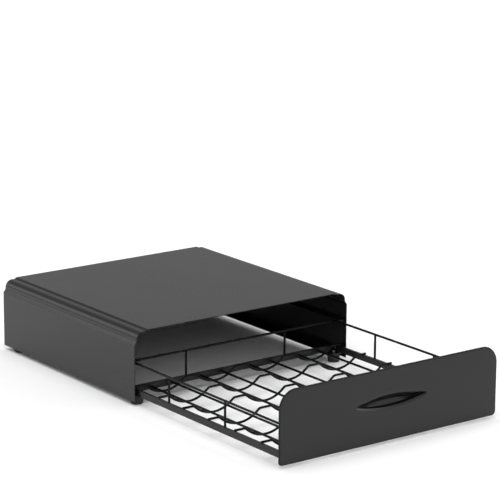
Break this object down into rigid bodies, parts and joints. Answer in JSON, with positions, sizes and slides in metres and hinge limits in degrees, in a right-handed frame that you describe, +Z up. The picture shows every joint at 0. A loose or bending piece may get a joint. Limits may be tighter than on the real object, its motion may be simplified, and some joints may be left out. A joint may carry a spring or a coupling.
{
  "type": "coffee capsule holder",
  "caption": "Low sheet-metal capsule holder with stepped shoulders, a flat top for a machine, and a wire drawer with cradled rows that slides out under a pressed front pull.",
  "frame": {"origin": "on the floor under the feet, in the middle of the whole outline with the drawer open", "axes": "+X to the right seen from the front, +Y to the back along the drawer's travel, +Z up"},
  "size_m": [0.336, 0.6044, 0.0966],
  "materials": {
    "housing_paint": "satin black powder coat",
    "panel_paint": "satin black powder coat",
    "wire_paint": "semi-gloss black coated wire and bar",
    "foot_rubber": "matt black moulded rubber",
    "plated_steel": "bright zinc plated"
  },
  "bodies": {
    "housing": {"foot_front_left": "foot_rubber", "foot_front_right": "foot_rubber", "foot_rear_left": "foot_rubber", "foot_rear_right": "foot_rubber", "foot_screws": "plated_steel", "housing_shell": "housing_paint", "left_runner": "housing_paint", "rear_panel": "housing_paint", "right_runner": "housing_paint"},
    "drawer": {"cradle_wire_1": "wire_paint", "cradle_wire_2": "wire_paint", "cradle_wire_3": "wire_paint", "cradle_wire_4": "wire_paint", "cradle_wire_5": "wire_paint", "cradle_wire_6": "wire_paint", "front_crossbar": "wire_paint", "front_panel": "panel_paint", "left_guard_post_front": "wire_paint", "left_guard_post_rear": "wire_paint", "left_guard_tab": "wire_paint", "left_guard_wire": "wire_paint", "left_rail": "wire_paint", "panel_nuts": "plated_steel", "panel_studs": "plated_steel", "rear_crossbar": "wire_paint", "rear_guard_post_left": "wire_paint", "rear_guard_post_right": "wire_paint", "rear_guard_wire": "wire_paint", "right_guard_post_front": "wire_paint", "right_guard_post_rear": "wire_paint", "right_guard_tab": "wire_paint", "right_guard_wire": "wire_paint", "right_rail": "wire_paint", "stop_pins": "plated_steel", "support_wire_1": "wire_paint", "support_wire_2": "wire_paint", "support_wire_3": "wire_paint", "support_wire_4": "wire_paint", "support_wire_5": "wire_paint", "support_wire_6": "wire_paint", "support_wire_7": "wire_paint", "support_wire_8": "wire_paint"}
  },
  "joints": [
    {"name": "drawer_slide", "type": "slide", "parent": "housing", "child": "drawer", "axis": [0, -1, 0], "range_m": [-0.2923, 0]}
  ]
}
